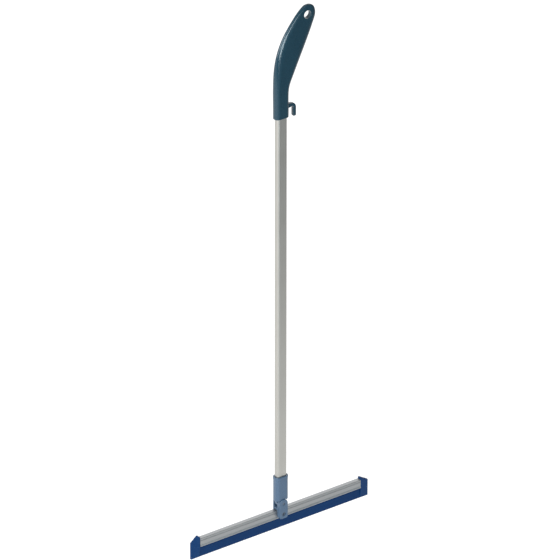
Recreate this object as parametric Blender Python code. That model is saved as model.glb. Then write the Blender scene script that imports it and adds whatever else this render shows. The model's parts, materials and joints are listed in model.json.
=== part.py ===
"""Long-handled squeegee: hinged aluminium head with a rubber blade, oval pole and curved grip.

Units are metres. +Z runs up the pole, +X along the head, -Y is the front.
The origin is the middle of the blade's tip. The hinge axis runs along Y.
"""

import math

import bmesh
import bpy
from mathutils import Matrix, Vector

GAP = 0.0003              # play between neighbouring pieces

# head
HEAD_HALF = 0.2250        # centre to the outer edge of an end cap
RAIL_HALF = 0.2040        # centre to the end of the aluminium rail
RAIL_DEPTH = 0.0105       # rail, front to back
RAIL_BOTTOM = 0.0246
RAIL_TOP = 0.0434
RAIL_GROOVE_Z = 0.0386
LIP_OUT = 0.0011          # how far the rail's lower lips stand out
LIP_TOP = 0.0292
CHAMBER_BOTTOM = 0.0322   # hollow in the rail's upper part
CHAMBER_TOP = 0.0420
CHAMBER_DEPTH = 0.0075
SLOT_BOTTOM = 0.0268      # undercut slot that holds the blade's bead
SLOT_TOP = 0.0308
SLOT_DEPTH = 0.0076
NECK_DEPTH = 0.0046
BLADE_THICK = 0.0040

# end caps
CAP_PEAK_Z = 0.0472
CAP_OUTER_Z = 0.0375
CAP_PEAK_X = 0.2072
CAP_DEPTH = 0.0110
TENON_LENGTH = 0.0240
CAP_PIN_R = 0.0015
CAP_PIN_X = 0.1920
CAP_PIN_Z = 0.0372

# bracket and hinge
PIVOT_Z = 0.0600
EAR_R = 0.0100
BRACKET_BOTTOM = 0.0264
BRACKET_INNER = RAIL_DEPTH / 2 + GAP
BRACKET_FRONT = 0.01525   # outer face of the front half, distance from the blade's plane
BRACKET_REAR = 0.00960
SADDLE_HALF = 0.0092       # the halves bridge the rail's top with a saddle this wide
SADDLE_TOP = 0.0482
PIN_R = 0.0030
PIN_HEAD_R = 0.0050
SCREW_Z = 0.0362
SCREW_R = 0.0023
SCREW_HEAD_R = 0.0041
NUT_FLATS = 0.0070
TONGUE_HALF = 0.0040      # half of the tongue's thickness
TONGUE_R = 0.0092
TONGUE_TOP = 0.0695         # where the tongue reaches its full width

# pole and socket
POLE_Y = -0.0030          # the pole stands 3 mm in front of the blade's plane
POLE_W = 0.0244
POLE_D = 0.0140
POLE_R = 0.0050
POLE_WALL = 0.0014
POLE_BOTTOM = 0.0810
POLE_TOP = 0.9945
SOCKET_W = 0.0318
SOCKET_D = 0.0206
SOCKET_R = 0.0080
SOCKET_BOTTOM = 0.0670      # hollowed round the ears' tops
SOCKET_TOP = 0.1220
CROSS_PIN_R = 0.0018
SOCKET_PIN_Z = 0.0950
GRIP_PIN_Z = 0.9745

# grip
GRIP_BOTTOM = 0.9355
GRIP_HALF_W = 0.0168
GRIP_HALF_D = 0.0095      # half of the grip's depth where the pole is inside
PADDLE_HALF_D = 0.0048    # half of its depth at the top
GRIP_EDGE_R = 0.0080
GRIP_WALL = 0.0024
HOLE_X = 0.0625
HOLE_Z = 1.1455
HOLE_R = 0.0087
HOOK_HALF_D = 0.0042
HOOK_TOP = 0.0260         # above the grip's bottom
PADDLE_START = 0.0510     # height at which the grip starts to get thinner
PADDLE_END = 0.2160


# ---------------------------------------------------------------- helpers

def clear_scene():
    for ob in list(bpy.data.objects):
        bpy.data.objects.remove(ob, do_unlink=True)


def new_collection(name):
    coll = bpy.data.collections.new(name)
    bpy.context.scene.collection.children.link(coll)
    return coll


def make_material(name, colour, roughness, metallic=0.0):
    mat = bpy.data.materials.new(name)
    mat.use_nodes = True
    bsdf = mat.node_tree.nodes["Principled BSDF"]
    bsdf.inputs["Base Color"].default_value = (*colour, 1.0)
    bsdf.inputs["Roughness"].default_value = roughness
    bsdf.inputs["Metallic"].default_value = metallic
    return mat


def add_object(name, mesh, collection, material=None):
    ob = bpy.data.objects.new(name, mesh)
    collection.objects.link(ob)
    if material:
        mesh.materials.clear()
        mesh.materials.append(material)
    return ob


def finish_mesh(bm, name):
    bmesh.ops.recalc_face_normals(bm, faces=bm.faces)
    mesh = bpy.data.meshes.new(name)
    bm.to_mesh(mesh)
    bm.free()
    return mesh


def shade_round(mesh, angle=40):
    mesh.shade_smooth()
    mesh.set_sharp_from_angle(angle=math.radians(angle))


def box(name, low, high):
    """Axis-aligned box between two corners."""
    low, high = Vector(low), Vector(high)
    bm = bmesh.new()
    place = Matrix.Translation((low + high) / 2) @ Matrix.Diagonal((*(high - low), 1.0))
    bmesh.ops.create_cube(bm, size=1.0, matrix=place)
    return finish_mesh(bm, name)


def rounded_bar(name, width, depth, radius, z0, z1, y=POLE_Y, segments=5):
    """Upright bar with a rounded-rectangle section, centred on the pole's axis."""
    bm = bmesh.new()
    place = Matrix.Translation((0, y, (z0 + z1) / 2)) @ Matrix.Diagonal((width, depth, z1 - z0, 1.0))
    bmesh.ops.create_cube(bm, size=1.0, matrix=place)
    uprights = [e for e in bm.edges if abs(e.verts[0].co.z - e.verts[1].co.z) > (z1 - z0) / 2]
    bmesh.ops.bevel(bm, geom=uprights, offset=radius, segments=segments, profile=0.5, affect="EDGES")
    return finish_mesh(bm, name)


def rod_y(name, radius, y0, y1, x, z, sides=32):
    """Round rod whose axis runs along Y."""
    bm = bmesh.new()
    place = Matrix.Translation((x, (y0 + y1) / 2, z)) @ Matrix.Rotation(math.radians(90), 4, "X")
    bmesh.ops.create_cone(bm, cap_ends=True, segments=sides, radius1=radius, radius2=radius,
                          depth=abs(y1 - y0), matrix=place)
    return finish_mesh(bm, name)


def extruded(name, loops, half, place, bevel=0.0):
    """Flat outline (and its holes) extruded both ways, then placed; returns a mesh."""
    curve = bpy.data.curves.new(name, "CURVE")
    curve.dimensions = "2D"
    curve.fill_mode = "BOTH"
    curve.extrude = half - bevel
    if bevel:
        curve.bevel_depth = bevel
        curve.bevel_resolution = 2
        curve.offset = -bevel
    for points in loops:
        spline = curve.splines.new("POLY")
        spline.points.add(len(points) - 1)
        for point, (x, y) in zip(spline.points, points):
            point.co = (x, y, 0.0, 1.0)
        spline.use_cyclic_u = True
    ob = bpy.data.objects.new(name, curve)
    bpy.context.scene.collection.objects.link(ob)
    bpy.context.view_layer.update()
    mesh = bpy.data.meshes.new_from_object(ob.evaluated_get(bpy.context.evaluated_depsgraph_get()))
    bpy.data.objects.remove(ob, do_unlink=True)
    bpy.data.curves.remove(curve)
    mesh.transform(place)
    bm = bmesh.new()
    bm.from_mesh(mesh)
    bmesh.ops.remove_doubles(bm, verts=bm.verts, dist=0.00001)
    bmesh.ops.recalc_face_normals(bm, faces=bm.faces)
    bm.to_mesh(mesh)
    bm.free()
    mesh.name = name
    return mesh


def soften(mesh, axis, level, width, segments):
    """Rounds the sharp rim that lies at one level of an axis (0, 1, 2 for X, Y, Z)."""
    bm = bmesh.new()
    bm.from_mesh(mesh)
    rim = [e for e in bm.edges if all(abs(v.co[axis] - level) < 1e-6 for v in e.verts)
           and e.calc_face_angle(0.0) > 0.5]
    bmesh.ops.bevel(bm, geom=rim, offset=width, segments=segments, profile=0.5, affect="EDGES")
    bm.to_mesh(mesh)
    bm.free()
    return mesh


# a flat outline drawn in (Y, Z) and run along X, and one drawn in (X, Z) and run along Y
ALONG_X = Matrix(((0, 0, 1, 0), (1, 0, 0, 0), (0, 1, 0, 0), (0, 0, 0, 1)))
ALONG_Y = Matrix(((1, 0, 0, 0), (0, 0, -1, 0), (0, 1, 0, 0), (0, 0, 0, 1)))


def arc(cx, cz, radius, start, end, steps):
    """Points of an arc, angles in degrees from +X towards +Z."""
    angles = [math.radians(start + (end - start) * i / steps) for i in range(steps + 1)]
    return [(cx + radius * math.cos(a), cz + radius * math.sin(a)) for a in angles]


def mirrored(half):
    """Closed outline from its right-hand half, listed top to bottom."""
    return half + [(-x, z) for x, z in reversed(half)]


class Builder:
    """Keeps the two collections and makes the cuts."""

    def __init__(self):
        self.parts = new_collection("squeegee")
        self.cutters = new_collection("cutters")

    def part(self, name, mesh, material, smooth=None):
        if smooth:
            shade_round(mesh, smooth)
        return add_object(name, mesh, self.parts, material)

    def combine(self, ob, mesh, operation="DIFFERENCE"):
        tool = add_object("tool_" + mesh.name, mesh, self.cutters)
        tool.hide_render = True
        tool.display_type = "WIRE"
        mod = ob.modifiers.new(operation.lower(), "BOOLEAN")
        mod.operation = operation
        mod.solver = "EXACT"
        mod.object = tool
        return mod

    def move_origin(self, ob, point):
        ob.data.transform(Matrix.Translation(-Vector(point)))
        ob.location = point


# ---------------------------------------------------------------- materials

def make_materials():
    return {
        "aluminium": make_material("anodised_aluminium", (0.50, 0.51, 0.50), 0.38, 1.0),
        "pole": make_material("satin_pole_aluminium", (0.48, 0.47, 0.44), 0.42, 1.0),
        "rubber": make_material("navy_rubber", (0.010, 0.035, 0.105), 0.55),
        "cap": make_material("navy_cap_rubber", (0.012, 0.045, 0.125), 0.50),
        "bracket": make_material("light_blue_plastic", (0.125, 0.225, 0.365), 0.40),
        "grip": make_material("teal_plastic", (0.012, 0.055, 0.085), 0.38),
        "plug": make_material("grey_plug_plastic", (0.12, 0.12, 0.13), 0.50),
        "steel": make_material("zinc_steel", (0.45, 0.45, 0.46), 0.30, 1.0),
        "bush": make_material("white_acetal", (0.70, 0.70, 0.68), 0.35),
    }


# ---------------------------------------------------------------- head

def make_rail(build, mats):
    d = RAIL_DEPTH / 2
    half = [
        (d - 0.0008, RAIL_TOP),
        (d, RAIL_TOP - 0.0008),
        (d, RAIL_GROOVE_Z + 0.0006),
        (d - 0.0007, RAIL_GROOVE_Z),
        (d, RAIL_GROOVE_Z - 0.0006),
        (d, LIP_TOP),
        (d + LIP_OUT, RAIL_BOTTOM + 0.0018),
        (d + LIP_OUT, RAIL_BOTTOM + 0.0006),
        (d + LIP_OUT - 0.0006, RAIL_BOTTOM),
        (NECK_DEPTH / 2, RAIL_BOTTOM),
        (NECK_DEPTH / 2, SLOT_BOTTOM),
        (SLOT_DEPTH / 2, SLOT_BOTTOM),
        (SLOT_DEPTH / 2, SLOT_TOP),
    ]
    c = CHAMBER_DEPTH / 2
    chamber = mirrored([(c, CHAMBER_TOP), (c, CHAMBER_BOTTOM)])
    mesh = extruded("rail", [mirrored(half), chamber], RAIL_HALF, ALONG_X)
    rail = build.part("channel_rail", mesh, mats["aluminium"])
    build.combine(rail, rod_y("rail_screw_hole", SCREW_R + GAP, -0.02, 0.02, 0, SCREW_Z, 24))
    for side in (-1, 1):
        hole = rod_y("rail_pin_hole_%d" % side, CAP_PIN_R + GAP, 0.0, 0.02, side * CAP_PIN_X, CAP_PIN_Z, 16)
        build.combine(rail, hole)
    build.move_origin(rail, (0, 0, PIVOT_Z))


def make_blade(build, mats):
    t = BLADE_THICK / 2
    bead = SLOT_DEPTH / 2 - GAP
    half = [
        (bead - 0.0004, SLOT_TOP - GAP),
        (bead, SLOT_TOP - GAP - 0.0004),
        (bead, SLOT_BOTTOM + GAP),
        (t, SLOT_BOTTOM + GAP),
        (t, 0.0007),
        (t - 0.0006, 0.0),
    ]
    mesh = extruded("blade", [mirrored(half)], RAIL_HALF, ALONG_X)
    blade = build.part("rubber_blade", mesh, mats["rubber"])
    build.move_origin(blade, (0, 0, PIVOT_Z))


def cap_section(x, foot, shoulder, depth, top):
    """One hexagonal section of an end cap, thin at the tip and deeper at the rail."""
    return [(x, y, z) for y, z in ((-foot, 0.0), (foot, 0.0), (depth, shoulder),
                                   (depth, top), (-depth, top), (-depth, shoulder))]


def make_end_cap(build, mats, name, side):
    foot = BLADE_THICK / 2
    sections = [
        cap_section(RAIL_HALF + GAP, foot, RAIL_BOTTOM, CAP_DEPTH / 2, CAP_PEAK_Z),
        cap_section(CAP_PEAK_X, foot, RAIL_BOTTOM, CAP_DEPTH / 2, CAP_PEAK_Z),
        cap_section(HEAD_HALF, foot, RAIL_BOTTOM, foot, CAP_OUTER_Z),
    ]
    bm = bmesh.new()
    rings = [[bm.verts.new((side * x, y, z)) for x, y, z in section] for section in sections]
    for ring, following in zip(rings, rings[1:]):
        for i in range(6):
            j = (i + 1) % 6
            bm.faces.new((ring[i], ring[j], following[j], following[i]))
    bm.faces.new(rings[0])
    bm.faces.new(rings[-1])
    bmesh.ops.recalc_face_normals(bm, faces=bm.faces)
    soft = [e for e in bm.edges if max(v.co.z for v in e.verts) > 0.001
            and min(abs(v.co.x) for v in e.verts) > CAP_PEAK_X - 0.001]
    bmesh.ops.bevel(bm, geom=soft, offset=0.0006, segments=2, profile=0.5, affect="EDGES")
    cap = build.part(name, finish_mesh(bm, name), mats["cap"])
    c = CHAMBER_DEPTH / 2 - GAP
    inner, outer = RAIL_HALF - TENON_LENGTH, RAIL_HALF + 0.0015
    low = (min(side * inner, side * outer), -c, CHAMBER_BOTTOM + GAP)
    high = (max(side * inner, side * outer), c, CHAMBER_TOP - GAP)
    build.combine(cap, box(name + "_tenon", low, high), "UNION")
    build.combine(cap, rod_y(name + "_hole", CAP_PIN_R + GAP, -0.0022, 0.02,
                             side * CAP_PIN_X, CAP_PIN_Z, 16))
    build.move_origin(cap, (0, 0, PIVOT_Z))


def make_cap_pin(build, mats, name, side):
    mesh = rod_y(name, CAP_PIN_R, -0.0018, RAIL_DEPTH / 2, side * CAP_PIN_X, CAP_PIN_Z, 16)
    pin = build.part(name, mesh, mats["steel"], 50)
    build.move_origin(pin, (0, 0, PIVOT_Z))


# ---------------------------------------------------------------- bracket

def bracket_outline():
    """Tombstone outline: round about the hinge at the top, soft corners at the bottom."""
    r = 0.0040
    return (arc(0, PIVOT_Z, EAR_R, 180, 0, 24)
            + arc(EAR_R - r, BRACKET_BOTTOM + r, r, 0, -90, 5)
            + arc(-EAR_R + r, BRACKET_BOTTOM + r, r, -90, -180, 5))


def make_bracket_half(build, mats, name, side):
    """side -1 is the thick front half with the screw's recess, +1 the thin rear half."""
    outer = BRACKET_FRONT if side < 0 else BRACKET_REAR
    middle = side * (outer + BRACKET_INNER) / 2
    place = Matrix.Translation((0, middle, 0)) @ ALONG_Y
    mesh = extruded(name, [bracket_outline()], (outer - BRACKET_INNER) / 2, place)
    soften(mesh, 1, side * outer, 0.0008, 2)
    half = build.part(name, mesh, mats["bracket"], 35)
    lip = RAIL_DEPTH / 2 + LIP_OUT + GAP
    near, far = sorted((side * (BRACKET_INNER - 0.001), side * lip))
    build.combine(half, box(name + "_lip", (-0.02, near, 0.0), (0.02, far, LIP_TOP + GAP)))
    near, far = sorted((side * GAP / 2, side * (BRACKET_INNER + 0.0010)))
    saddle = box(name + "_saddle", (-SADDLE_HALF, near, RAIL_TOP + GAP), (SADDLE_HALF, far, SADDLE_TOP))
    build.combine(half, saddle, "UNION")
    through = sorted((0.0, side * 0.03))
    build.combine(half, rod_y(name + "_pin_hole", PIN_R + 0.00012, *through, 0, PIVOT_Z))
    build.combine(half, rod_y(name + "_screw_hole", SCREW_R + GAP, *through, 0, SCREW_Z, 24))
    if side < 0:
        recess = rod_y(name + "_recess", SCREW_HEAD_R + GAP, -0.03, -BRACKET_FRONT + 0.0045, 0, SCREW_Z)
    else:
        recess = rod_y(name + "_pocket", NUT_FLATS / 2 / math.cos(math.pi / 6) + GAP,
                       BRACKET_REAR - 0.0029, 0.03, 0, SCREW_Z, 6)
    build.combine(half, recess)
    if side > 0:
        sink = rod_y(name + "_sink", PIN_HEAD_R + GAP, BRACKET_REAR - 0.0016, 0.03, 0, PIVOT_Z)
        build.combine(half, sink)
    build.move_origin(half, (0, 0, PIVOT_Z))


def make_bracket_screw(build, mats):
    face = -BRACKET_FRONT + 0.0045 - GAP
    screw = build.part("bracket_screw", rod_y("screw", SCREW_R, face - 0.0004, BRACKET_REAR - 0.0003,
                                              0, SCREW_Z, 24), mats["steel"], 50)
    head = rod_y("screw_head", SCREW_HEAD_R, face - 0.0030, face, 0, SCREW_Z)
    build.combine(screw, head, "UNION")
    hexagon = rod_y("screw_hexagon", 0.0023, -0.03, face - 0.0013, 0, SCREW_Z, 6)
    build.combine(screw, hexagon)
    build.move_origin(screw, (0, 0, PIVOT_Z))


def make_bracket_nut(build, mats):
    mesh = rod_y("nut", NUT_FLATS / 2 / math.cos(math.pi / 6), BRACKET_REAR - 0.0026, BRACKET_REAR - 0.0003,
                 0, SCREW_Z, 6)
    nut = build.part("bracket_nut", mesh, mats["steel"])
    build.combine(nut, rod_y("nut_hole", SCREW_R + 0.00015, 0.0, 0.03, 0, SCREW_Z, 24))
    build.move_origin(nut, (0, 0, PIVOT_Z))


# ---------------------------------------------------------------- hinge

def make_pivot_pin(build, mats):
    head_face = BRACKET_REAR - 0.0016 + GAP
    pin = build.part("pivot_pin", rod_y("pin", PIN_R, -BRACKET_FRONT + 0.0009, head_face + 0.0004,
                                        0, PIVOT_Z), mats["steel"], 50)
    head = rod_y("pin_head", PIN_HEAD_R, head_face, BRACKET_REAR - 0.0001, 0, PIVOT_Z)
    build.combine(pin, head, "UNION")
    build.move_origin(pin, (0, 0, PIVOT_Z))


def make_ring(build, name, material, outer, inner, y0, y1, sides=32):
    ring = build.part(name, rod_y(name + "_ring", outer, y0, y1, 0, PIVOT_Z, sides), material, 50)
    build.combine(ring, rod_y(name + "_bore", inner, y0 - 0.01, y1 + 0.01, 0, PIVOT_Z, sides))
    build.move_origin(ring, (0, 0, PIVOT_Z))


def make_hinge_rings(build, mats):
    make_ring(build, "pivot_bush", mats["bush"], 0.0042, PIN_R + 0.00012,
              -TONGUE_HALF, TONGUE_HALF)
    washer = (TONGUE_HALF + GAP, BRACKET_INNER - GAP)
    make_ring(build, "pivot_washer_rear", mats["steel"], 0.0070, PIN_R + 0.00025, *washer)
    make_ring(build, "pivot_washer_front", mats["steel"], 0.0070, PIN_R + 0.00025, -washer[1], -washer[0])


# ---------------------------------------------------------------- pole and socket

def tongue_outline():
    """From the socket's full width down to a round end about the hinge."""
    top, shoulder = SOCKET_W / 2 - 0.0026, TONGUE_TOP
    lean = math.degrees(math.atan2(top - TONGUE_R, shoulder - PIVOT_Z))
    return [(-top, TONGUE_TOP + 0.0055), (-top, shoulder)] \
        + arc(0, PIVOT_Z, TONGUE_R, 180 + lean * 0.4, 360 - lean * 0.4, 20) \
        + [(top, shoulder), (top, TONGUE_TOP + 0.0055)]


def make_socket(build, mats):
    mesh = rounded_bar("socket_body", SOCKET_W, SOCKET_D, SOCKET_R, SOCKET_BOTTOM, SOCKET_TOP, segments=8)
    soften(mesh, 2, SOCKET_TOP, 0.0008, 2)
    soften(mesh, 2, SOCKET_BOTTOM, 0.0012, 3)
    socket = build.part("pole_socket", mesh, mats["bracket"], 35)
    build.combine(socket, rod_y("ear_hollow", EAR_R + 0.0006, -0.03, 0.03, 0, PIVOT_Z, 48))
    build.combine(socket, extruded("tongue", [tongue_outline()], TONGUE_HALF, ALONG_Y), "UNION")
    build.combine(socket, rounded_bar("socket_bore", POLE_W + 2 * GAP, POLE_D + 2 * GAP, POLE_R + GAP,
                                      POLE_BOTTOM - GAP, 0.2))
    build.combine(socket, rod_y("tongue_bore", 0.0042 + 0.0001, -0.006, 0.006, 0, PIVOT_Z))
    build.combine(socket, rod_y("socket_pin_hole", CROSS_PIN_R + GAP, POLE_Y - POLE_D / 2 - 0.0012, 0.03,
                                0, SOCKET_PIN_Z, 16))


def make_pole(build, mats):
    w, d, r = POLE_W / 2, POLE_D / 2, POLE_R

    def loop(inset):
        a, b, c = w - inset, d - inset, r - inset
        return (arc(a - c, b - c, c, 0, 90, 6) + arc(-a + c, b - c, c, 90, 180, 6)
                + arc(-a + c, -b + c, c, 180, 270, 6) + arc(a - c, -b + c, c, 270, 360, 6))

    place = Matrix.Translation((0, POLE_Y, (POLE_BOTTOM + POLE_TOP) / 2))
    mesh = extruded("pole", [loop(0.0), loop(POLE_WALL)], (POLE_TOP - POLE_BOTTOM) / 2, place)
    pole = build.part("pole_tube", mesh, mats["pole"], 40)
    for name, z in (("foot", SOCKET_PIN_Z), ("top", GRIP_PIN_Z)):
        build.combine(pole, rod_y("pole_hole_" + name, CROSS_PIN_R + GAP, POLE_Y - 0.02, POLE_Y + 0.02, 0, z, 16))


def make_plug(build, mats, name, z0, z1, pin_z):
    inset = 2 * (POLE_WALL + GAP)
    mesh = rounded_bar(name, POLE_W - inset, POLE_D - inset, POLE_R - POLE_WALL - GAP, z0, z1, segments=4)
    plug = build.part(name, mesh, mats["plug"], 35)
    build.combine(plug, rod_y(name + "_hole", CROSS_PIN_R + GAP, POLE_Y - 0.02, POLE_Y + 0.02, 0, pin_z, 16))


def make_cross_pin(build, mats, name, rear_face, z):
    """Pin pushed in from the rear; its front end stops inside the front wall."""
    build.part(name, rod_y(name, CROSS_PIN_R, POLE_Y - POLE_D / 2 - 0.0008, rear_face, 0, z, 16),
               mats["steel"], 50)


# ---------------------------------------------------------------- grip

def smooth_loop(points, steps=4):
    """Closed Catmull-Rom curve through the points."""
    out = []
    count = len(points)
    for i in range(count):
        p0, p1, p2, p3 = (Vector(points[(i + k) % count]) for k in (-1, 0, 1, 2))
        for s in range(steps):
            t = s / steps
            q = 0.5 * (2 * p1 + (p2 - p0) * t + (2 * p0 - 5 * p1 + 4 * p2 - p3) * t * t
                       + (3 * p1 - p0 - 3 * p2 + p3) * t ** 3)
            out.append((q.x, q.y))
    return out


def grip_outline():
    """Side outline: straight over the pole, then leaning towards +X and widening into a paddle.

    Its points are (x, height above the grip's bottom); it starts below that, to be cut off flat.
    """
    w = GRIP_HALF_W
    left = [(-w, -0.080), (-w, -0.020), (-w, 0.021), (-w - 0.0005, 0.066), (-w + 0.0005, 0.1045),
            (-0.0097, 0.1396), (0.0046, 0.1722), (0.0262, 0.2017), (0.0464, 0.2222)]
    crown = [(0.0643, 0.2303), (0.0790, 0.2243), (0.0838, 0.2066)]
    right = [(0.0757, 0.1833), (0.0613, 0.1518), (0.0458, 0.1208), (0.0296, 0.0888), (0.0196, 0.0682),
             (w, 0.050), (w, 0.021), (w, -0.020), (w, -0.080)]
    points = [(x, GRIP_BOTTOM + height) for x, height in left + crown + right]
    return smooth_loop(points)


def inset_loop(points, distance):
    """Closed outline moved inwards (the points run clockwise)."""
    out = []
    count = len(points)
    for i in range(count):
        before, after = Vector(points[i - 1]), Vector(points[(i + 1) % count])
        run = (after - before).normalized()
        out.append((points[i][0] + run.y * distance, points[i][1] - run.x * distance))
    return out


def grip_half_depth(z):
    t = (z - GRIP_BOTTOM - PADDLE_START) / (PADDLE_END - PADDLE_START)
    t = min(max(t, 0.0), 1.0)
    return GRIP_HALF_D + (PADDLE_HALF_D - GRIP_HALF_D) * t * t * (3 - 2 * t)


def grip_solid(name, inset):
    """The grip's form, or with an inset the hollow inside it."""
    loop = grip_outline()
    if inset:
        loop = inset_loop(loop, inset)
    mesh = extruded(name, [loop], GRIP_HALF_D, ALONG_Y, GRIP_EDGE_R - inset * 0.6)
    bm = bmesh.new()
    bm.from_mesh(mesh)
    for vert in bm.verts:
        depth = grip_half_depth(vert.co.z) - inset
        vert.co.y = POLE_Y + vert.co.y * depth / GRIP_HALF_D
    bm.to_mesh(mesh)
    bm.free()
    return mesh


def hook_outline():
    """Small hook on the +X side: out from the grip and down, open at the bottom."""
    inner_x, outer_x, top = 0.0285, 0.0353, GRIP_BOTTOM + HOOK_TOP
    return ([(0.0135, top + 0.0015)]
            + arc(outer_x - 0.0085, top - 0.0085, 0.0085, 90, 0, 6)
            + arc((inner_x + outer_x) / 2, top - 0.0275, (outer_x - inner_x) / 2, 0, -180, 8)
            + arc(inner_x - 0.0030, top - 0.0115, 0.0030, 0, 90, 4)
            + [(0.0135, top - 0.0095)])


def bisected(mesh, point, normal):
    """Cuts away what lies on the normal's side and closes the cut."""
    bm = bmesh.new()
    bm.from_mesh(mesh)
    geometry = bm.verts[:] + bm.edges[:] + bm.faces[:]
    cut = bmesh.ops.bisect_plane(bm, geom=geometry, dist=1e-7, plane_co=point, plane_no=normal,
                                 clear_outer=True)
    rim = [e for e in cut["geom_cut"] if isinstance(e, bmesh.types.BMEdge)]
    bmesh.ops.contextual_create(bm, geom=rim)
    bm.to_mesh(mesh)
    bm.free()
    return mesh


def make_grip_shell(build, mats, name, side):
    """One moulded half; side -1 is the front. The halves meet on the pole's plane."""
    mesh = bisected(grip_solid(name, 0.0), (0, 0, GRIP_BOTTOM), (0, 0, -1))
    shell = build.part(name, mesh, mats["grip"], 35)
    hook_place = Matrix.Translation((0, POLE_Y, 0)) @ ALONG_Y
    build.combine(shell, extruded(name + "_hook", [hook_outline()], HOOK_HALF_D, hook_place, 0.0010), "UNION")
    hollow = bisected(grip_solid(name + "_hollow", GRIP_WALL), (0, 0, POLE_TOP + 0.005), (0, 0, -1))
    hollow = bisected(hollow, (0, 0, HOLE_Z - HOLE_R - 0.004), (0, 0, 1))
    build.combine(shell, hollow)
    build.combine(shell, rounded_bar(name + "_bore", POLE_W + 2 * GAP, POLE_D + 2 * GAP, POLE_R + GAP,
                                     0.90, POLE_TOP + GAP))
    build.combine(shell, rod_y(name + "_hanging_hole", HOLE_R, -0.05, 0.05, HOLE_X, HOLE_Z, 40))
    build.combine(shell, rod_y(name + "_pin_hole", CROSS_PIN_R + GAP, POLE_Y - POLE_D / 2 - 0.0012, 0.05,
                               0, GRIP_PIN_Z, 16))
    seam = POLE_Y + side * GAP / 2
    low, high = sorted((seam, seam - side * 0.06))
    build.combine(shell, box(name + "_split", (-0.1, low, 0.90), (0.2, high, 1.25)))


# ---------------------------------------------------------------- assembly

def main():
    clear_scene()
    build = Builder()
    mats = make_materials()
    make_rail(build, mats)
    make_blade(build, mats)
    for name, side in (("end_cap_left", -1), ("end_cap_right", 1)):
        make_end_cap(build, mats, name, side)
        make_cap_pin(build, mats, name.replace("cap", "cap_pin"), side)
    make_bracket_half(build, mats, "bracket_front", -1)
    make_bracket_half(build, mats, "bracket_rear", 1)
    make_bracket_screw(build, mats)
    make_bracket_nut(build, mats)
    make_pivot_pin(build, mats)
    make_hinge_rings(build, mats)
    make_socket(build, mats)
    make_pole(build, mats)
    make_plug(build, mats, "pole_foot_plug", POLE_BOTTOM, POLE_BOTTOM + 0.029, SOCKET_PIN_Z)
    make_plug(build, mats, "pole_top_plug", POLE_TOP - 0.036, POLE_TOP, GRIP_PIN_Z)
    make_cross_pin(build, mats, "socket_pin", POLE_Y + SOCKET_D / 2 - 0.0004, SOCKET_PIN_Z)
    make_cross_pin(build, mats, "grip_pin", POLE_Y + GRIP_HALF_D - 0.0004, GRIP_PIN_Z)
    make_grip_shell(build, mats, "grip_front_shell", -1)
    make_grip_shell(build, mats, "grip_rear_shell", 1)


main()
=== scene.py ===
import json
import math

import bmesh
import bpy
from mathutils import Matrix, Vector


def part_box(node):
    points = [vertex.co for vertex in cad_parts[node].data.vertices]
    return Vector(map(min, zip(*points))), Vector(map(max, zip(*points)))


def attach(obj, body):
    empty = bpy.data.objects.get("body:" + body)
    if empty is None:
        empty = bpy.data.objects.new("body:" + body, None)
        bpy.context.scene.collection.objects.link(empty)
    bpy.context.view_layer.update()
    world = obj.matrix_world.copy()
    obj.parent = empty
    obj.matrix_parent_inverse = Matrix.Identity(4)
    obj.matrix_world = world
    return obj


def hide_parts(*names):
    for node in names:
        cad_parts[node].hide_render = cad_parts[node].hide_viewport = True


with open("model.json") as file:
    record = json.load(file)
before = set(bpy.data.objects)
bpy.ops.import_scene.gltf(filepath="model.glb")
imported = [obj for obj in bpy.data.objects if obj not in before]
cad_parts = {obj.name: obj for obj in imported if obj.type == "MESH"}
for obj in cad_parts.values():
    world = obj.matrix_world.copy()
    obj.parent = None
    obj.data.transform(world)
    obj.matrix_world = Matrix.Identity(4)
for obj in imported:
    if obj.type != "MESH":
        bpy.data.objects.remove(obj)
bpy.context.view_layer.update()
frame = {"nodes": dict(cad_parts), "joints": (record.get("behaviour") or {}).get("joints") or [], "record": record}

print("frame loaded with", len(frame["nodes"]), "nodes")
hinge = Vector(frame["joints"][0]["pos_m"])


def middle(node):
    low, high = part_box(node)
    return (low + high) / 2


def leaveEdit():
    bpy.ops.object.mode_set(mode="OBJECT")


def deselectAll():
    if bpy.context.mode != "OBJECT":
        leaveEdit()
    bpy.ops.object.select_all(action="DESELECT")


def activate(piece):
    deselectAll()
    piece.select_set(True)
    bpy.context.view_layer.objects.active = piece


def applyPlace():
    bpy.ops.object.transform_apply(location=True, rotation=True, scale=True)


def settle(name):
    # names the new primitive and moves its place into the mesh
    piece = bpy.context.object
    piece.name = name
    piece.data.name = name
    applyPlace()
    return piece


def addBox(name, low, high):
    deselectAll()
    low, high = Vector(low), Vector(high)
    bpy.ops.mesh.primitive_cube_add(size=1, location=(low + high) / 2)
    bpy.context.object.scale = high - low
    return settle(name)


def addRod(name, radius, y0, y1, x, z, sides=64):
    deselectAll()
    bpy.ops.mesh.primitive_cylinder_add(vertices=sides, radius=radius, depth=abs(y1 - y0),
                                        location=(x, (y0 + y1) / 2, z), rotation=(math.pi / 2, 0, 0))
    return settle(name)


def addRoundedSection(name, centre, width, depth, radius, segments=8):
    # a flat rounded rectangle, the start of a pole, socket or grip
    deselectAll()
    bpy.ops.mesh.primitive_plane_add(size=1, location=centre)
    bpy.context.object.scale = (width, depth, 1)
    piece = settle(name)
    bpy.ops.object.mode_set(mode="EDIT")
    bpy.ops.mesh.select_all(action="SELECT")
    bpy.ops.mesh.bevel(offset=radius, segments=segments, affect="VERTICES")
    leaveEdit()
    return piece


def copyPiece(source, name):
    piece = source.copy()
    piece.data = source.data.copy()
    piece.name = name
    piece.data.name = name
    bpy.context.scene.collection.objects.link(piece)
    return piece


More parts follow.
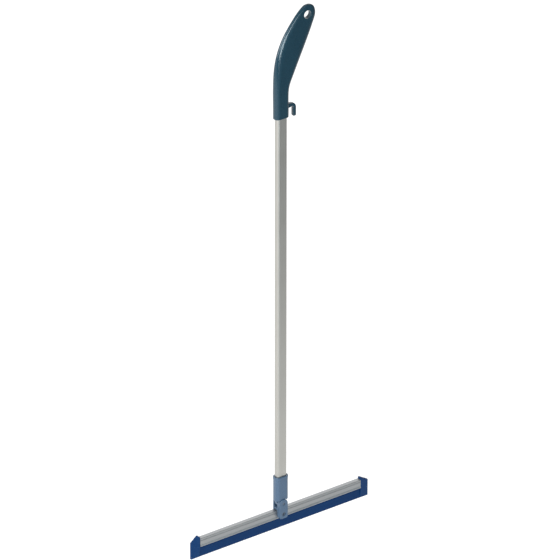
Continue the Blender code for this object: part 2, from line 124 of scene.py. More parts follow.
def pick(piece, kind, test):
    # opens edit mode with the faces, edges or points that pass the test selected
    activate(piece)
    bpy.ops.object.mode_set(mode="EDIT")
    bpy.ops.mesh.select_mode(type=kind)
    bpy.ops.mesh.select_all(action="DESELECT")
    leaveEdit()
    mesh = piece.data
    items = {"FACE": mesh.polygons, "EDGE": mesh.edges, "VERT": mesh.vertices}[kind]
    count = 0
    for item in items:
        item.select = bool(test(item))
        count += item.select
    bpy.ops.object.mode_set(mode="EDIT")
    return count


def pickAll(piece):
    pick(piece, "FACE", lambda face: True)


def extrude(x, y, z):
    bpy.ops.mesh.extrude_region_move(TRANSFORM_OT_translate={"value": (x, y, z)})


def edgeEnds(piece, edge):
    return [piece.data.vertices[i].co for i in edge.vertices]


def sharpEdges(piece, angle):
    # numbers of the edges whose two faces meet at more than the angle
    bm = bmesh.new()
    bm.from_mesh(piece.data)
    found = {e.index for e in bm.edges if e.calc_face_angle(0) > math.radians(angle)}
    bm.free()
    return found


def bevelWhere(piece, test, width, segments=3, angle=35):
    # rounds the sharp edges whose two ends both pass the test
    sharp = sharpEdges(piece, angle)
    if pick(piece, "EDGE", lambda e: e.index in sharp and all(test(p) for p in edgeEnds(piece, e))):
        bpy.ops.mesh.bevel(offset=width, segments=segments, affect="EDGES", clamp_overlap=True)
    leaveEdit()


def combine(piece, tool, operation="DIFFERENCE"):
    modifier = piece.modifiers.new("cut", "BOOLEAN")
    modifier.operation = operation
    modifier.solver = "EXACT"
    modifier.object = tool
    activate(piece)
    bpy.ops.object.modifier_apply(modifier=modifier.name)
    bpy.data.objects.remove(tool, do_unlink=True)


def fixNormals(piece):
    activate(piece)
    bpy.ops.object.mode_set(mode="EDIT")
    bpy.ops.mesh.select_all(action="SELECT")
    bpy.ops.mesh.remove_doubles(threshold=0.000005)
    bpy.ops.mesh.normals_make_consistent(inside=False)
    leaveEdit()


def finishPiece(piece, body, material, node, angle=32):
    fixNormals(piece)
    activate(piece)
    bpy.ops.object.shade_smooth_by_angle(angle=math.radians(angle))
    weighted = piece.modifiers.new("weighted", "WEIGHTED_NORMAL")
    weighted.keep_sharp = True
    bpy.ops.object.modifier_apply(modifier=weighted.name)
    piece.data.materials.clear()
    piece.data.materials.append(material)
    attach(piece, body)
    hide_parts(node)


class Value:
    # wraps a node socket so that shader maths is written as plain expressions
    def __init__(self, graph, socket):
        self.graph = graph
        self.socket = socket

    def math(self, operation, first, second):
        return self.graph.add("ShaderNodeMath", {"operation": operation}, {0: first, 1: second})

    def __add__(self, other):
        return self.math("ADD", self, other)

    def __radd__(self, other):
        return self.math("ADD", self, other)

    def __sub__(self, other):
        return self.math("SUBTRACT", self, other)

    def __rsub__(self, other):
        return self.math("SUBTRACT", other, self)

    def __mul__(self, other):
        return self.math("MULTIPLY", self, other)

    def __rmul__(self, other):
        return self.math("MULTIPLY", self, other)

    def clamped(self, low, high):
        return self.graph.add("ShaderNodeMapRange", {"clamp": True},
                              {"Value": self, "From Min": low, "From Max": high})


class Graph:
    # the nodes of a material or of the world
    def __init__(self, tree):
        self.nodes = tree.nodes
        self.links = tree.links

    def add(self, kind, settings=None, inputs=None, output=0):
        node = self.nodes.new(kind)
        for name, value in (settings or {}).items():
            setattr(node, name, value)
        for name, value in (inputs or {}).items():
            self.feed(node.inputs[name], value)
        return Value(self, node.outputs[output])

    def feed(self, socket, value):
        if isinstance(value, Value):
            self.links.new(value.socket, socket)
        else:
            socket.default_value = value

    def mixColour(self, amount, first, second):
        ends = [end if isinstance(end, Value) else (*end, 1) for end in (first, second)]
        return self.add("ShaderNodeMix", {"data_type": "RGBA"}, {"Factor": amount, 6: ends[0], 7: ends[1]}, 2)


class Surface(Graph):
    # one material: a Principled shader and the nodes that feed it
    def __init__(self, name, **constants):
        self.material = bpy.data.materials.new(name)
        self.material.use_nodes = True
        super().__init__(self.material.node_tree)
        self.shader = self.nodes["Principled BSDF"]
        for socket, value in constants.items():
            self.shader.inputs[socket.replace("_", " ")].default_value = value
        self.place = self.add("ShaderNodeTexCoord", {}, {}, "Object")

    def mapped(self, scale):
        return self.add("ShaderNodeMapping", {}, {"Vector": self.place, "Scale": scale})

    def noise(self, scale, stretch=(1, 1, 1), detail=3.0, roughness=0.55):
        return self.add("ShaderNodeTexNoise", {}, {"Vector": self.mapped(stretch), "Scale": scale,
                                                   "Detail": detail, "Roughness": roughness})

    def cells(self, scale):
        return self.add("ShaderNodeTexVoronoi", {"feature": "F1"},
                        {"Vector": self.mapped((1, 1, 1)), "Scale": scale}, "Distance")

    def axis(self, letter):
        return self.add("ShaderNodeSeparateXYZ", {}, {"Vector": self.place}, letter)

    def colour(self, value):
        self.feed(self.shader.inputs["Base Color"], value)

    def roughness(self, value):
        self.feed(self.shader.inputs["Roughness"], value)

    def bump(self, height, strength, distance):
        bumped = self.add("ShaderNodeBump", {},
                          {"Height": height, "Strength": strength, "Distance": distance})
        self.feed(self.shader.inputs["Normal"], bumped)


def makeMouldedPlastic(name, tone, deep, pale, gloss, grainScale, grainDepth, shine, coat=0.0):
    # moulded plastic: fine spark grain, faint flow clouds, a few light scuffs
    surface = Surface(name, IOR=1.5, Specular_IOR_Level=shine, Coat_IOR=1.5, Coat_Weight=coat,
                      Coat_Roughness=0.12)
    clouds = surface.noise(18, (1, 1, 0.5), 4, 0.6).clamped(0.30, 0.72)
    grain = surface.noise(grainScale, detail=2.0)
    pits = surface.cells(grainScale * 0.8)
    scuffs = surface.noise(260, (1, 1, 0.06), 5, 0.7).clamped(0.66, 0.80)
    base = surface.mixColour(clouds, deep, tone)
    base = surface.mixColour(grain.clamped(0.35, 0.75) * 0.22, base, pale)
    surface.colour(surface.mixColour(scuffs * 0.14, base, pale))
    surface.roughness(gloss + clouds * 0.05 + grain.clamped(0.3, 0.7) * 0.10 + scuffs * 0.10)
    surface.bump(grain * 0.7 + pits * 0.5 - scuffs * 0.3, grainDepth, 0.00012)
    return surface.material


def makeAnodised(name, tone, deep, pale, stretch, gloss):
    # extruded and anodised aluminium: long die lines, a soft matt bloom, small handling marks
    surface = Surface(name, Metallic=1.0, IOR=1.45)
    dieLines = surface.noise(1.0, stretch, 4, 0.65)
    fineLines = surface.noise(2.7, stretch, 2, 0.5)
    bloom = surface.noise(9, detail=4).clamped(0.3, 0.75)
    marks = surface.noise(120, (1, 1, 1), 6, 0.75).clamped(0.68, 0.80)
    base = surface.mixColour(dieLines.clamped(0.30, 0.72), deep, tone)
    base = surface.mixColour(bloom * 0.35, base, pale)
    surface.colour(surface.mixColour(marks * 0.25, base, deep))
    surface.roughness(gloss + dieLines.clamped(0.3, 0.7) * 0.12 + bloom * 0.05 + marks * 0.15)
    surface.bump(dieLines * 0.8 + fineLines * 0.5, 0.35, 0.00010)
    return surface.material


def makeRubber(name, tone, deep, dust, gloss):
    # moulded rubber: even matt skin, faint drag lines along the strip, pale dust in places
    surface = Surface(name, IOR=1.5, Specular_IOR_Level=0.10)
    skin = surface.noise(1400, detail=2.0)
    drag = surface.noise(1.0, (22, 700, 520), 4, 0.6)
    clouds = surface.noise(14, detail=5, roughness=0.65).clamped(0.32, 0.74)
    specks = surface.noise(900, detail=2.0).clamped(0.70, 0.80)
    base = surface.mixColour(clouds, deep, tone)
    base = surface.mixColour(drag.clamped(0.45, 0.80) * 0.16, base, dust)
    surface.colour(surface.mixColour(specks * 0.10, base, dust))
    surface.roughness(gloss + clouds * 0.08 + drag.clamped(0.3, 0.8) * 0.10)
    surface.bump(skin * 0.5 + drag * 0.6, 0.30, 0.00010)
    return surface.material


def makeZincSteel(name, tone, deep):
    # plated steel: cloudy crystals and soft wear
    surface = Surface(name, Metallic=1.0, IOR=1.45)
    crystals = surface.cells(900)
    clouds = surface.noise(160, detail=4).clamped(0.3, 0.7)
    base = surface.mixColour(crystals.clamped(0.0, 0.8), deep, tone)
    surface.colour(surface.mixColour(clouds * 0.3, base, deep))
    surface.roughness(0.26 + clouds * 0.14 + crystals * 0.08)
    surface.bump(crystals * 0.4 + clouds * 0.5, 0.2, 0.00008)
    return surface.material


materials = {
    "rail": makeAnodised("satin anodised rail", (0.335, 0.345, 0.35), (0.28, 0.29, 0.295),
                         (0.39, 0.40, 0.41), (4, 2600, 2600), 0.34),
    "pole": makeAnodised("satin anodised pole", (0.50, 0.49, 0.46), (0.42, 0.412, 0.385),
                         (0.56, 0.55, 0.52), (2600, 2600, 3), 0.30),
    "blade": makeRubber("navy blade rubber", (0.0015, 0.029, 0.105), (0.001, 0.023, 0.088),
                        (0.03, 0.085, 0.18), 0.50),
    "cap": makeRubber("navy cap rubber", (0.003, 0.034, 0.120), (0.002, 0.027, 0.100),
                      (0.045, 0.11, 0.21), 0.42),
    "bluePlastic": makeMouldedPlastic("light blue plastic", (0.058, 0.104, 0.168), (0.050, 0.090, 0.152),
                                      (0.13, 0.205, 0.30), 0.24, 1500, 0.18, 0.38, 0.15),
    "grip": makeMouldedPlastic("dark teal plastic", (0.0045, 0.034, 0.055), (0.0035, 0.028, 0.046),
                               (0.024, 0.080, 0.12), 0.22, 1100, 0.14, 0.20, 0.55),
    "plug": makeMouldedPlastic("grey plug plastic", (0.14, 0.14, 0.15), (0.11, 0.11, 0.12),
                               (0.25, 0.25, 0.26), 0.42, 1400, 0.22, 0.4),
    "bush": makeMouldedPlastic("natural acetal", (0.74, 0.73, 0.70), (0.66, 0.65, 0.62),
                               (0.85, 0.84, 0.82), 0.30, 1600, 0.12, 0.4),
    "steel": makeZincSteel("zinc plated steel", (0.62, 0.62, 0.63), (0.44, 0.44, 0.46)),
    "dullSteel": makeZincSteel("blued steel", (0.150, 0.185, 0.235), (0.100, 0.125, 0.165)),
}
print("materials made")


cameraSet = {
    "turn": -36.65,        # degrees round the object, 0 looks along +Y
    "height": 27.75,       # degrees above the floor
    "roll": 0.047,
    "distance": 14.0,
    "aim": (0.0002, -0.0005, 0.5702),
    "width": 1.1240,       # metres across the frame at the aim point
}


def addCamera(c):
    turn, height, roll = (math.radians(c[k]) for k in ("turn", "height", "roll"))
    back = Vector((math.sin(turn) * math.cos(height), -math.cos(turn) * math.cos(height), math.sin(height)))
    level = Vector((math.cos(turn), math.sin(turn), 0))
    upright = back.cross(level)
    right = level * math.cos(roll) + upright * math.sin(roll)
    up = back.cross(right)
    data = bpy.data.cameras.new("camera")
    data.sensor_width = 36
    data.lens = data.sensor_width * c["distance"] / c["width"]
    data.clip_start = 0.1
    data.clip_end = 100
    camera = bpy.data.objects.new("camera", data)
    bpy.context.scene.collection.objects.link(camera)
    place = Matrix((right, up, back)).transposed().to_4x4()
    place.translation = Vector(c["aim"]) + back * c["distance"]
    camera.matrix_world = place
    bpy.context.scene.camera = camera


studio = {
    "floorZ": -0.185,      # low enough for the head to tilt fully without reaching it
    "floorHalf": 14.0,
    "floorTone": 0.14,
    "floorNear": 1.02,     # how bright the floor is by the object and behind it
    "floorFar": 0.07,      # and away in front, on the right
    "away": (0.50, 0.86),  # shares of +X and of -Y in the way it fades
    "fade": (0.30, 2.3),   # where the fade starts and ends, in metres
    "skySide": (-0.45, 0.85, 0.25),     # the bright side of the sky
    "skySpread": (-0.7, 0.9),
    "skyLow": 0.10,
    "skyHigh": 0.95,
}

coolWhite = (0.80, 0.94, 1.0)
lamps = {
    "key softbox": {"place": (-1.9, -1.9, 1.75), "target": (0, 0, 1.05), "size": (1.5, 1.2),
                    "power": 32.0, "colour": coolWhite},
    "front window": {"place": (-0.45, -3.5, 0.85), "target": (0, 0, 1.10), "size": (1.3, 0.9),
                     "power": 52.0, "colour": coolWhite},
    "side strip": {"place": (-2.9, -0.5, 1.9), "target": (0, 0, 0.5), "size": (0.8, 1.8),
                   "power": 66.0, "colour": (1, 1, 1)},
    "low panel": {"place": (2.1, -3.4, 0.55), "target": (0, 0, 0.05), "size": (2.4, 0.8),
                  "power": 6.0, "colour": (0.80, 0.93, 1.0)},
    "back fill": {"place": (1.5, 2.1, 1.6), "target": (0, 0, 0.05), "size": (1.2, 1.2),
                  "power": 7.0, "colour": (1, 1, 1)},
}


def addFloor(s):
    deselectAll()
    bpy.ops.mesh.primitive_grid_add(x_subdivisions=8, y_subdivisions=8, size=2 * s["floorHalf"],
                                    location=(0, 0, s["floorZ"]))
    floor = settle("floor")
    surface = Surface("pale floor", Roughness=0.9)
    near, far = (s["floorNear"],) * 3, (s["floorFar"],) * 3
    surface.colour((*(s["floorTone"],) * 3, 1))
    away = surface.axis("X") * s["away"][0] - surface.axis("Y") * s["away"][1]
    glow = surface.mixColour(away.clamped(*s["fade"]), near, far)
    seen = surface.add("ShaderNodeLightPath", {}, {}, "Is Camera Ray")
    glow = surface.mixColour(seen, glow, near)      # looks white from every side
    surface.feed(surface.shader.inputs["Emission Color"], glow)
    surface.feed(surface.shader.inputs["Emission Strength"], 1.0)
    floor.data.materials.append(surface.material)


def addWorld(s):
    world = bpy.data.worlds.new("studio")
    world.use_nodes = True
    bpy.context.scene.world = world
    graph = Graph(world.node_tree)
    direction = graph.add("ShaderNodeTexCoord", {}, {}, "Generated")
    side = graph.add("ShaderNodeVectorMath", {"operation": "DOT_PRODUCT"},
                     {0: direction, 1: Vector(s["skySide"]).normalized()}, "Value")
    sky = graph.add("ShaderNodeMapRange", {"clamp": True},
                    {"Value": side, "From Min": s["skySpread"][0], "From Max": s["skySpread"][1],
                     "To Min": s["skyLow"], "To Max": s["skyHigh"]})
    seen = graph.add("ShaderNodeLightPath", {}, {}, "Is Camera Ray")
    strength = graph.add("ShaderNodeMix", {}, {"Factor": seen, "A": sky, "B": 1.0})
    background = graph.nodes["Background"]
    graph.feed(background.inputs["Strength"], strength)
    graph.feed(background.inputs["Color"], (1, 1, 1, 1))


def addLamp(name, spec):
    data = bpy.data.lights.new(name, "AREA")
    data.shape = "RECTANGLE"
    data.size, data.size_y = spec["size"]
    data.energy = spec["power"]
    data.color = spec["colour"]
    lamp = bpy.data.objects.new(name, data)
    bpy.context.scene.collection.objects.link(lamp)
    lamp.location = spec["place"]
    away = Vector(spec["place"]) - Vector(spec["target"])
    lamp.rotation_euler = away.to_track_quat("Z", "Y").to_euler()


addCamera(cameraSet)
addFloor(studio)
addWorld(studio)
for name, spec in lamps.items():
    addLamp(name, spec)
bpy.context.scene.view_settings.view_transform = "Standard"
print("camera, floor and light set")


poleSpec = {
    "radius": 0.0050,
    "wall": 0.0014,
    "cornerSteps": 10,
    "boreGap": 0.0006,     # room across the pole in what holds it
    "boreRadius": 0.0053,
}


def makePole(p):
    low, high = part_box("pole_tube")
    centre = (low + high) / 2
    pole = addRoundedSection("poleTube", (centre.x, centre.y, low.z), high.x - low.x, high.y - low.y,
                             p["radius"], p["cornerSteps"])
    pickAll(pole)
    extrude(0, 0, high.z - low.z)
    bpy.ops.mesh.delete(type="ONLY_FACE")
    leaveEdit()
    pick(pole, "FACE", lambda f: abs(f.normal.z) > 0.9)
    bpy.ops.mesh.delete(type="ONLY_FACE")
    leaveEdit()
    fixNormals(pole)
    wall = pole.modifiers.new("wall", "SOLIDIFY")
    wall.thickness = p["wall"]
    wall.offset = -1
    bpy.ops.object.modifier_apply(modifier=wall.name)
    finishPiece(pole, "handle", materials["pole"], "pole_tube")


def addPoleBore(p, centreY, bottom, length):
    # the room for the pole in the socket and in the grip
    low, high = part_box("pole_tube")
    bore = addRoundedSection("bore", (0, centreY, bottom), high.x - low.x + p["boreGap"],
                             high.y - low.y + p["boreGap"], p["boreRadius"])
    pickAll(bore)
    extrude(0, 0, length)
    leaveEdit()
    fixNormals(bore)
    return bore


makePole(poleSpec)
print("pole made")


socketSpec = {
    "radius": 0.0080,
    "shoulder": 0.0070,    # underside of the body, above the hinge
    "collar": 0.0005,      # how far the collar stands out
    "collarHeight": 0.0060,
    "collarStep": 0.0006,
    "topSoft": 0.0009,
    "bottomSoft": 0.0012,
    "mouthSoft": 0.0006,
    "boreDepth": 0.0407,
    "boreLength": 0.06,
    "earHollow": 0.0106,
    "hollowSoft": 0.0004,
    "tongueHalf": 0.0040,
    "tongueRadius": 0.0092,
    "tongueShoulder": 0.0095,      # where its sides stop widening, above the hinge
    "tongueRise": 0.0055,
    "tongueInset": 0.0026,
    "tongueSoft": 0.0006,
    "bushRadius": 0.0043,
    "pinHole": 0.0021,
}


def makeSocket(s):
    low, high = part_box("pole_socket")
    centreY = (low.y + high.y) / 2
    width, depth = high.x - low.x, high.y - low.y
    shoulder = hinge.z + s["shoulder"]
    bodyWidth, bodyDepth = width - 2 * s["collar"], depth - 2 * s["collar"]
    base = (0, centreY, shoulder)
    socket = addRoundedSection("poleSocket", base, bodyWidth, bodyDepth, s["radius"])
    pickAll(socket)
    extrude(0, 0, high.z - shoulder - s["collarHeight"])
    extrude(0, 0, s["collarStep"])
    bpy.ops.transform.resize(value=(width / bodyWidth, depth / bodyDepth, 1), center_override=base)
    extrude(0, 0, s["collarHeight"] - s["collarStep"])
    leaveEdit()
    bevelWhere(socket, lambda p: abs(p.z - high.z) < 1e-5, s["topSoft"], 4)
    bevelWhere(socket, lambda p: abs(p.z - shoulder) < 1e-5, s["bottomSoft"], 4)
    fixNormals(socket)
    combine(socket, addPoleBore(poleSpec, centreY, high.z - s["boreDepth"], s["boreLength"]))
    bevelWhere(socket, lambda p: abs(p.z - high.z) < 1e-5, s["mouthSoft"], 3)
    combine(socket, addRod("earHollow", s["earHollow"], -0.03, 0.03, 0, hinge.z, 96))
    onHollow = lambda p: abs(math.hypot(p.x, p.z - hinge.z) - s["earHollow"]) < 0.0001
    bevelWhere(socket, onHollow, s["hollowSoft"], 2, 50)
    combine(socket, makeTongue(s, high.x - s["tongueInset"]), "UNION")
    combine(socket, addRod("bushHole", s["bushRadius"], -0.02, 0.02, 0, hinge.z))
    combine(socket, addRod("pinHole", s["pinHole"], centreY + 0.008, 0.03, 0, middle("socket_pin").z, 32))
    finishPiece(socket, "handle", materials["bluePlastic"], "pole_socket")


def makeTongue(s, wide):
    # a block below the body that narrows to a round end about the hinge
    half, radius = s["tongueHalf"], s["tongueRadius"]
    shoulder = hinge.z + s["tongueShoulder"]
    tongue = addBox("tongue", (-wide, -half, hinge.z), (wide, half, shoulder))
    pick(tongue, "VERT", lambda v: abs(v.co.z - hinge.z) < 1e-5)
    bpy.ops.transform.resize(value=(radius / wide, 1, 1), center_override=(0, 0, hinge.z))
    leaveEdit()
    pick(tongue, "FACE", lambda f: f.normal.z > 0.9)
    extrude(0, 0, s["tongueRise"])
    leaveEdit()
    combine(tongue, addRod("tongueEnd", radius, -half, half, 0, hinge.z, 72), "UNION")
    onSides = lambda p: abs(abs(p.y) - half) < 1e-5 and p.z < shoulder - 0.001
    bevelWhere(tongue, onSides, s["tongueSoft"], 3, 60)
    return tongue


makeSocket(socketSpec)
print("socket made")


bracketSpec = {
    "inner": 0.00555,      # the cheeks' inner faces, from the blade's plane
    "cornerTop": 0.00995,
    "cornerLow": 0.0040,
    "rim": 0.0010,
    "reliefStart": 0.004,  # room for the rail's lip
    "reliefGap": 0.0003,
    "reliefTop": 0.0295,
    "saddleHalf": 0.0092,
    "saddleTop": 0.0482,
    "saddleGap": 0.00015,  # from the blade's plane to each half's bridge
    "saddleLap": 0.0012,
    "saddleSoft": 0.0009,
    "shankRadius": 0.0027,
    "recessRadius": 0.0044,
    "recessDepth": 0.0045,
    "pocketRadius": 0.00434,       # to the corners of the nut's pocket
    "pocketDepth": 0.0029,
    "spotRadius": 0.0031,
    "sinkRadius": 0.0053,
    "sinkDepth": 0.0016,
    "rimSoft": 0.00035,
}


def isCornerEdge(piece, edge, z):
    ends = edgeEnds(piece, edge)
    return abs(ends[0].y - ends[1].y) > 0.001 and all(abs(p.z - z) < 1e-5 for p in ends)


def makeBracketHalf(b, node, name, side):
    low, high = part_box(node)
    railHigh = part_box("channel_rail")[1]
    outer = low.y if side < 0 else high.y
    near, far = sorted((side * b["inner"], outer))
    half = addBox(name, (low.x, near, low.z), (high.x, far, high.z))
    for z, corner, segments in ((high.z, b["cornerTop"], 28), (low.z, b["cornerLow"], 8)):
        pick(half, "EDGE", lambda e: isCornerEdge(half, e, z))
        bpy.ops.mesh.bevel(offset=corner, segments=segments, affect="EDGES")
        leaveEdit()
    bevelWhere(half, lambda p: abs(p.y - outer) < 1e-5, b["rim"], 4, 60)
    near, far = sorted((side * b["reliefStart"], side * (railHigh.y + b["reliefGap"])))
    combine(half, addBox("lipRelief", (-0.02, near, 0), (0.02, far, b["reliefTop"])))
    combine(half, makeSaddle(b, side, railHigh.z), "UNION")
    screwZ = middle("bracket_screw").z
    if side < 0:
        cuts = [("recess", b["recessRadius"], outer + b["recessDepth"], screwZ, 64),
                ("shank", b["shankRadius"], 0.0, screwZ, 64),
                ("spot", b["spotRadius"], 0.0, hinge.z, 64)]
        rims = [(screwZ, b["recessRadius"]), (hinge.z, b["spotRadius"])]
    else:
        cuts = [("pocket", b["pocketRadius"], outer - b["pocketDepth"], screwZ, 6),
                ("shank", b["shankRadius"], 0.0, screwZ, 64),
                ("sink", b["sinkRadius"], outer - b["sinkDepth"], hinge.z, 64),
                ("spot", b["spotRadius"], 0.0, hinge.z, 64)]
        rims = [(screwZ, b["pocketRadius"]), (hinge.z, b["sinkRadius"])]
    for cutName, radius, bottom, z, sides in cuts:
        combine(half, addRod(cutName, radius, side * 0.03, bottom, 0, z, sides))
    for z, radius in rims:
        onRim = lambda p: abs(p.y - outer) < 1e-5 and math.hypot(p.x, p.z - z) < radius + 0.0003
        bevelWhere(half, onRim, b["rimSoft"], 2, 50)
    finishPiece(half, "head", materials["bluePlastic"], node)


def makeSaddle(b, side, railTop):
    # this half's share of the bridge over the rail
    near, far = sorted((side * b["saddleGap"], side * (b["inner"] + b["saddleLap"])))
    saddle = addBox("saddle", (-b["saddleHalf"], near, railTop + 0.0003),
                    (b["saddleHalf"], far, b["saddleTop"]))
    bevelWhere(saddle, lambda p: p.z > b["saddleTop"] - 1e-5, b["saddleSoft"], 3, 60)
    return saddle


makeBracketHalf(bracketSpec, "bracket_front", "bracketFront", -1)
makeBracketHalf(bracketSpec, "bracket_rear", "bracketRear", 1)
print("bracket made")


railSpec = {
    "depth": 0.0105,
    "topCorner": 0.0009,
    "groove": 0.0386,      # height of the groove along each side
    "grooveShape": ((0.0, 0.0007), (0.0003, 0.0005), (0.0006, 0.0001)),     # inward, up from its middle
    "lipTop": 0.0292,
    "lipOut": 0.0011,
    "lipCorner": 0.0008,
    "chamber": (0.00375, 0.0322, 0.0420),  # half width, bottom, top
    "slot": (0.0038, 0.0268, 0.0308),
    "neck": 0.0023,        # half width of the slot's mouth
    "screwHole": 0.0026,
    "pinHole": 0.0018,
}


def arcPoints(cx, cz, radius, start, end, steps):
    angles = [math.radians(start + (end - start) * i / steps) for i in range(steps + 1)]
    return [(cx + radius * math.cos(a), cz + radius * math.sin(a)) for a in angles]


def mirroredLoop(half):
    return half + [(-y, z) for y, z in reversed(half)]


def addExtrusion(name, loops, x0, x1):
    # a flat outline in (Y, Z), with its holes, run along X
    curve = bpy.data.curves.new(name, "CURVE")
    curve.dimensions = "2D"
    curve.fill_mode = "BOTH"
    curve.extrude = (x1 - x0) / 2
    for points in loops:
        spline = curve.splines.new("POLY")
        spline.points.add(len(points) - 1)
        for point, (y, z) in zip(spline.points, points):
            point.co = (y, z, 0, 1)
        spline.use_cyclic_u = True
    piece = bpy.data.objects.new(name, curve)
    bpy.context.scene.collection.objects.link(piece)
    activate(piece)
    bpy.ops.object.convert(target="MESH")
    piece = bpy.context.object
    piece.matrix_world = Matrix(((0, 0, 1, (x0 + x1) / 2), (1, 0, 0, 0), (0, 1, 0, 0), (0, 0, 0, 1)))
    applyPlace()
    fixNormals(piece)
    return piece


def makeRail(r):
    low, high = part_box("channel_rail")
    side, top, bottom = r["depth"] / 2, high.z, low.z
    lip, foot, corner = side + r["lipOut"], r["lipCorner"], r["topCorner"]
    upper = [(side - inward, r["groove"] + up) for inward, up in r["grooveShape"]]
    lower = [(side - inward, r["groove"] - up) for inward, up in reversed(r["grooveShape"])]
    slotHalf, slotLow, slotHigh = r["slot"]
    half = [(0.0001, top), (side - corner, top)]
    half += arcPoints(side - corner, top - corner, corner, 80, 0, 5)
    half += upper + lower
    half += [(side, r["lipTop"] + 0.0004), (side + 0.00015, r["lipTop"] - 0.0003)]
    half += [(lip - 0.0001, bottom + 0.0024)]
    half += arcPoints(lip - foot, bottom + foot, foot, 20, -90, 6)
    half += [(r["neck"], bottom), (r["neck"], slotLow), (slotHalf, slotLow), (slotHalf, slotHigh)]
    chamberHalf, chamberLow, chamberHigh = r["chamber"]
    chamber = mirroredLoop([(chamberHalf, chamberHigh), (chamberHalf, chamberLow)])
    rail = addExtrusion("channelRail", [mirroredLoop(half), chamber], low.x, high.x)
    combine(rail, addRod("screwHole", r["screwHole"], -0.02, 0.02, 0, middle("bracket_screw").z, 32))
    for node in ("end_cap_pin_left", "end_cap_pin_right"):
        centre = middle(node)
        combine(rail, addRod("pinHole", r["pinHole"], 0, 0.02, centre.x, centre.z, 32))
    finishPiece(rail, "head", materials["rail"], "channel_rail", 25)


makeRail(railSpec)
print("rail made")


bladeSpec = {
    "half": 0.0020,
    "bead": 0.0035,        # half width of the bead in the rail's slot
    "beadSoft": 0.0005,
    "slotGap": 0.0003,
    "lineHeight": 0.0207,  # a fine moulded line along each face
    "lineDepth": 0.00035,
    "tipHalf": 0.0014,
    "tipHeight": 0.0016,
}


def makeBlade(b):
    low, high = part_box("rubber_blade")
    side, bead, soft = b["half"], b["bead"], b["beadSoft"]
    beadLow = railSpec["slot"][1] + b["slotGap"]
    line, lineSide = b["lineHeight"], side - b["lineDepth"]
    half = [(bead - soft, high.z), (bead, high.z - soft), (bead, beadLow + 0.0004), (bead - 0.0004, beadLow)]
    half += [(side + 0.0003, beadLow), (side, beadLow - 0.0004)]
    half += [(side, line + 0.0008), (lineSide, line + 0.0004)]
    half += [(lineSide, line - 0.0004), (side, line - 0.0008)]
    half += [(side, b["tipHeight"] + 0.0006), (side - 0.00015, b["tipHeight"])]
    half += [(b["tipHalf"] + 0.0001, 0.0002), (b["tipHalf"] - 0.0001, 0.0)]
    blade = addExtrusion("rubberBlade", [mirroredLoop(half)], low.x, high.x)
    finishPiece(blade, "head", materials["blade"], "rubber_blade", 30)


makeBlade(bladeSpec)
print("blade made")


capSpec = {
    "inner": 0.2043,       # where the block starts, from the middle
    "block": 0.0029,
    "foot": 0.0020,        # half thickness at the foot and at the outer edge
    "outerTop": 0.0375,
    "soft": 0.0007,
    "tenonStart": 0.180,
    "tenonHalf": 0.00345,
    "tenonLow": 0.0325,
    "tenonHigh": 0.0417,
    "pinHole": 0.0018,
}


def makeCapForm(c):
    # the right cap; the left one is its mirror image
    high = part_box("end_cap_right")[1]
    depth, outer, peak = high.y, high.x, high.z
    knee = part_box("channel_rail")[0].z
    inner, shrink = c["inner"], c["foot"] / depth
    cap = addBox("capForm", (inner, -depth, 0), (inner + c["block"], depth, peak))
    pickAll(cap)
    bpy.ops.mesh.bisect(plane_co=(0, 0, knee), plane_no=(0, 0, 1))
    leaveEdit()
    pick(cap, "VERT", lambda v: v.co.z < 1e-5)
    bpy.ops.transform.resize(value=(1, shrink, 1), center_override=(0, 0, 0))
    leaveEdit()
    pick(cap, "FACE", lambda f: f.normal.x > 0.9)
    extrude(outer - inner - c["block"], 0, 0)
    leaveEdit()
    pick(cap, "VERT", lambda v: v.co.x > outer - 1e-5 and v.co.z > 0.001)
    bpy.ops.transform.resize(value=(1, shrink, 1), center_override=(0, 0, 0))
    leaveEdit()
    pick(cap, "VERT", lambda v: v.co.x > outer - 1e-5 and v.co.z > peak - 1e-5)
    bpy.ops.transform.translate(value=(0, 0, c["outerTop"] - peak))
    leaveEdit()
    bevelWhere(cap, lambda p: True, c["soft"], 4, 12)
    tenon = addBox("tenon", (c["tenonStart"], -c["tenonHalf"], c["tenonLow"]),
                   (inner + 0.001, c["tenonHalf"], c["tenonHigh"]))
    combine(cap, tenon, "UNION")
    pin = middle("end_cap_pin_right")
    combine(cap, addRod("pinHole", c["pinHole"], -0.0022, 0.02, pin.x, pin.z, 32))
    return cap


def makeEndCaps(c):
    form = makeCapForm(c)
    for node, name, side in (("end_cap_left", "endCapLeft", -1), ("end_cap_right", "endCapRight", 1)):
        cap = copyPiece(form, name)
        activate(cap)
        cap.scale = (side, 1, 1)
        applyPlace()
        finishPiece(cap, "head", materials["cap"], node, 40)
    bpy.data.objects.remove(form, do_unlink=True)


makeEndCaps(capSpec)
print("end caps made")


gripSpec = {
    "halfWidth": 0.0168,
    "halfDepth": 0.0095,
    "paddleDepth": 0.0048, # half depth of the flat paddle
    "corner": 0.0088,
    "paddleStart": 0.051,  # heights above the grip's bottom
    "paddleEnd": 0.216,
    "crownRoll": 0.0030,   # how far below the top the edge starts to roll over
    "stations": 52,
    "crowding": 1.9,       # how much closer the stations stand towards the crown
    "holeRadius": 0.0087,
    "holeSoft": 0.0011,
    "bottomSoft": 0.0006,
    "boreHeight": 0.0592,
    "boreLead": 0.02,
    "pinHole": 0.0021,
    "seam": 0.00030,
    "partGap": 0.00006,    # from the parting plane to each shell
}

